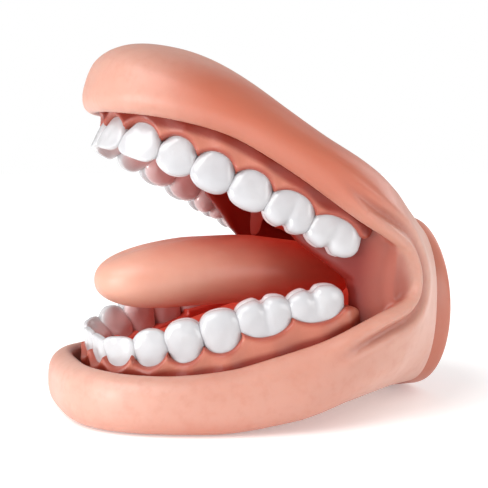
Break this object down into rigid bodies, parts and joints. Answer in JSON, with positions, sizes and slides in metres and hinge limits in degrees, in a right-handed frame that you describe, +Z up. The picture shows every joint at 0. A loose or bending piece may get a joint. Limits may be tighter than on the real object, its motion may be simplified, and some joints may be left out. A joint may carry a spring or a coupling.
{
  "type": "typodont mouth model",
  "caption": "Oversized soft mouth demonstration model: hinged upper and lower jaws with full rows of teeth, gums, lips and a raised tongue, worked by a hand through a rear cuff.",
  "frame": {"origin": "on the table, under the middle of the model", "axes": "+Z up, -Y the way the mouth opens, +X the side of the mouth's own left"},
  "size_m": [0.1252, 0.142, 0.1298],
  "materials": {
    "skin": "soft satin vinyl",
    "gum": "soft satin vinyl",
    "lining": "satin vinyl",
    "tongue": "soft satin vinyl",
    "tooth": "polished"
  },
  "bodies": {
    "rear_body": {"left_lip_corner": "skin", "rear_cuff": "skin", "rear_shell": "skin", "right_lip_corner": "skin", "throat_lining": "lining"},
    "upper_jaw": {"finger_cover": "skin", "palate": "lining", "upper_gum": "gum", "upper_left_canine": "tooth", "upper_left_central_incisor": "tooth", "upper_left_first_molar": "tooth", "upper_left_first_premolar": "tooth", "upper_left_lateral_incisor": "tooth", "upper_left_second_molar": "tooth", "upper_left_second_premolar": "tooth", "upper_lip": "skin", "upper_right_canine": "tooth", "upper_right_central_incisor": "tooth", "upper_right_first_molar": "tooth", "upper_right_first_premolar": "tooth", "upper_right_lateral_incisor": "tooth", "upper_right_second_molar": "tooth", "upper_right_second_premolar": "tooth"},
    "lower_jaw": {"chin_cover": "skin", "lower_gum": "gum", "lower_left_canine": "tooth", "lower_left_central_incisor": "tooth", "lower_left_first_molar": "tooth", "lower_left_first_premolar": "tooth", "lower_left_lateral_incisor": "tooth", "lower_left_second_molar": "tooth", "lower_left_second_premolar": "tooth", "lower_lip": "skin", "lower_right_canine": "tooth", "lower_right_central_incisor": "tooth", "lower_right_first_molar": "tooth", "lower_right_first_premolar": "tooth", "lower_right_lateral_incisor": "tooth", "lower_right_second_molar": "tooth", "lower_right_second_premolar": "tooth", "mouth_floor": "lining"},
    "tongue_root": {"tongue_root": "tongue"},
    "tongue": {"tongue": "tongue"}
  },
  "joints": [
    {"name": "upper_jaw_hinge", "type": "hinge", "parent": "rear_body", "child": "upper_jaw", "pos_m": [0, 0.032, 0.049], "axis": [-1, 0, 0], "range_deg": [-18, 6], "stiffness_Nm_per_rad": 5, "deforming": ["tongue"]},
    {"name": "lower_jaw_hinge", "type": "hinge", "parent": "rear_body", "child": "lower_jaw", "pos_m": [0, 0.032, 0.049], "axis": [1, 0, 0], "range_deg": [-6, 0], "stiffness_Nm_per_rad": 5, "deforming": ["tongue"]},
    {"name": "tongue_lift", "type": "hinge", "parent": "lower_jaw", "child": "tongue_root", "pos_m": [0, 0.026, 0.039], "axis": [-1, 0, 0], "range_deg": [-6, 14], "stiffness_Nm_per_rad": 1.2},
    {"name": "tongue_sway", "type": "hinge", "parent": "tongue_root", "child": "tongue", "pos_m": [0, 0.026, 0.045], "axis": [0, 0, 1], "range_deg": [-8, 8], "stiffness_Nm_per_rad": 0.8}
  ]
}
